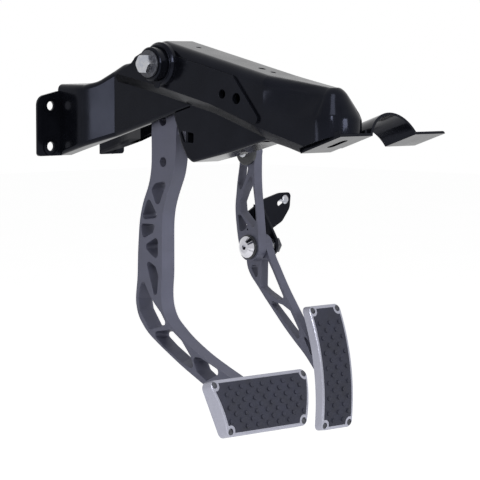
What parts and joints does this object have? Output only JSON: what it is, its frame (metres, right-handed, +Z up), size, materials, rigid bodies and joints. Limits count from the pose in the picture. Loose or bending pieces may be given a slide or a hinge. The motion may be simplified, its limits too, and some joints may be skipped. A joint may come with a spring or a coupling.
{
  "type": "pedal assembly",
  "caption": "Hanging brake and throttle pedals: a pressed steel hanger with pivot bolt and column saddle carries a trussed brake arm, beside a trussed throttle lever on its own bracket.",
  "frame": {"origin": "centre of the four firewall bolt holes, on the plane of the firewall face", "axes": "+X to the right of the vehicle, +Y forward out of the firewall face, +Z up"},
  "size_m": [0.3491, 0.4429, 0.4583],
  "materials": {
    "gloss_black_paint": "gloss",
    "black_rubber": "matte",
    "zinc_steel": "satin",
    "black_oxide_screws": "satin",
    "polished_chrome": "polished",
    "black_plastic": "satin",
    "bronze": "satin",
    "grey_anodised": "satin",
    "brushed_aluminium": "brushed"
  },
  "bodies": {
    "hanger": {"main_channel": "gloss_black_paint", "left_side_plate": "gloss_black_paint", "right_side_plate": "gloss_black_paint", "left_boss_plate": "gloss_black_paint", "right_boss_plate": "gloss_black_paint", "lower_box": "gloss_black_paint", "column_saddle": "gloss_black_paint", "stop_bumper": "black_rubber", "pivot_bolt": "zinc_steel", "pivot_nut": "zinc_steel", "pivot_washers": "zinc_steel", "pivot_retainers": "gloss_black_paint", "pivot_sleeve": "zinc_steel", "throttle_bracket": "gloss_black_paint", "throttle_bracket_screws": "zinc_steel", "throttle_pivot_bolt": "polished_chrome", "throttle_pivot_washer": "black_plastic", "throttle_spacer": "zinc_steel", "throttle_pivot_nut": "zinc_steel"},
    "brake_pedal": {"brake_arm": "grey_anodised", "pivot_bushings": "bronze", "brake_pad_frame": "brushed_aluminium", "brake_pad_rubber": "black_rubber", "brake_pad_screws": "black_oxide_screws", "brake_pad_mount_screws": "zinc_steel"},
    "throttle_pedal": {"throttle_upper_lever": "grey_anodised", "throttle_lower_lever": "grey_anodised", "throttle_bushing": "bronze", "cable_bushing": "black_plastic", "cable_stud": "zinc_steel", "throttle_pad_frame": "brushed_aluminium", "throttle_pad_rubber": "black_rubber", "throttle_pad_screws": "black_oxide_screws", "throttle_pad_mount_screws": "zinc_steel"}
  },
  "joints": [
    {"name": "brake_pivot", "type": "hinge", "parent": "hanger", "child": "brake_pedal", "pos_m": [0, -0.18, 0.072], "axis": [1, 0, 0], "range_deg": [0, 20]},
    {"name": "throttle_pivot", "type": "hinge", "parent": "hanger", "child": "throttle_pedal", "pos_m": [0.19, -0.102, -0.1475], "axis": [1, 0, 0], "range_deg": [0, 20]}
  ]
}
